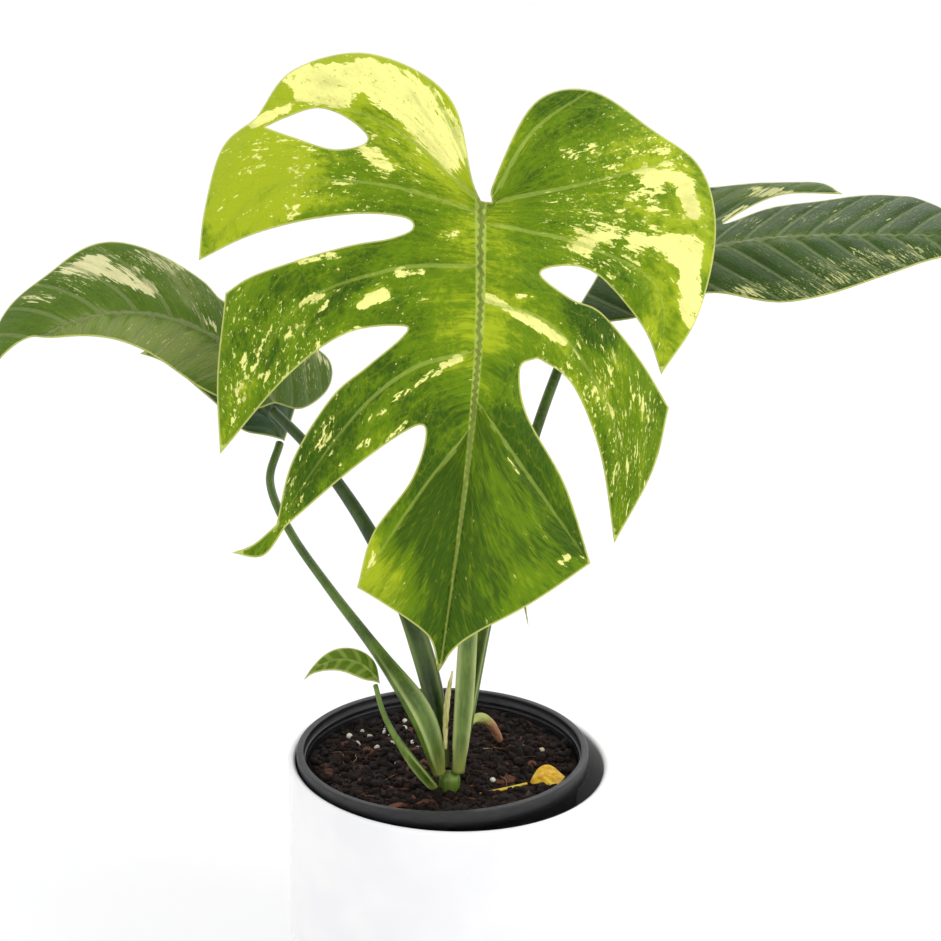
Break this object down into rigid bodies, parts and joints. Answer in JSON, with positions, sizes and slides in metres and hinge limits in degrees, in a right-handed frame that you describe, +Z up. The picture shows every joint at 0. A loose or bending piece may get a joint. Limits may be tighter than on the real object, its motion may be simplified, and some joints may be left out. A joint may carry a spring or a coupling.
{
  "type": "potted monstera houseplant",
  "caption": "Potted monstera with split, cream-flecked leaves on upright stalks, in a black nursery pot that stands inside a white glazed cover pot",
  "frame": {"origin": "The centre of the cover pot's flat base, on the surface it stands on", "axes": "+Z up along the cover pot's axis, -Y towards the plant's front, +X to the right seen from the front"},
  "size_m": [0.489, 0.2106, 0.4937],
  "materials": {
    "white_glaze": "smooth satin white glaze",
    "black_plastic": "black moulded plastic with a dull sheen",
    "potting_mix": "damp dark potting mix with fibres and bark",
    "leaf_green": "satin green leaf streaked and flecked with cream",
    "dark_leaf": "satin dark green leaf with pale flecks",
    "stalk_green": "smooth green stalk",
    "cream_sheath": "dry papery cream sheath",
    "root_brown": "matte tan root, darker at its tip",
    "yellow_leaf": "satin yellow fallen leaf",
    "granule_white": "chalky off-white granules",
    "bark_brown": "rough reddish brown bark"
  },
  "bodies": {
    "root": {"cover_pot": "white_glaze", "nursery_pot": "black_plastic", "potting_soil": "potting_mix", "stem": "stalk_green", "front_leaf": "leaf_green", "front_leaf_stalk": "stalk_green", "left_leaf": "leaf_green", "left_leaf_stalk": "stalk_green", "left_rear_leaf": "dark_leaf", "left_rear_leaf_stalk": "stalk_green", "right_leaf": "leaf_green", "right_leaf_stalk": "stalk_green", "small_leaf": "leaf_green", "small_leaf_stalk": "stalk_green", "cream_sheath": "cream_sheath", "dry_sheath_tip": "cream_sheath", "aerial_root": "root_brown", "fallen_leaf": "yellow_leaf", "fallen_leaf_stalk": "yellow_leaf", "granule_01": "granule_white", "granule_02": "granule_white", "granule_03": "granule_white", "granule_04": "granule_white", "granule_05": "granule_white", "granule_06": "granule_white", "granule_07": "granule_white", "granule_08": "granule_white", "granule_09": "granule_white", "granule_10": "granule_white", "granule_11": "granule_white", "granule_12": "granule_white", "granule_13": "granule_white", "granule_14": "granule_white", "granule_15": "granule_white", "granule_16": "granule_white", "granule_17": "granule_white", "granule_18": "granule_white", "bark_chip_1": "bark_brown", "bark_chip_2": "bark_brown", "bark_chip_3": "bark_brown", "bark_chip_4": "bark_brown"}
  },
  "joints": []
}
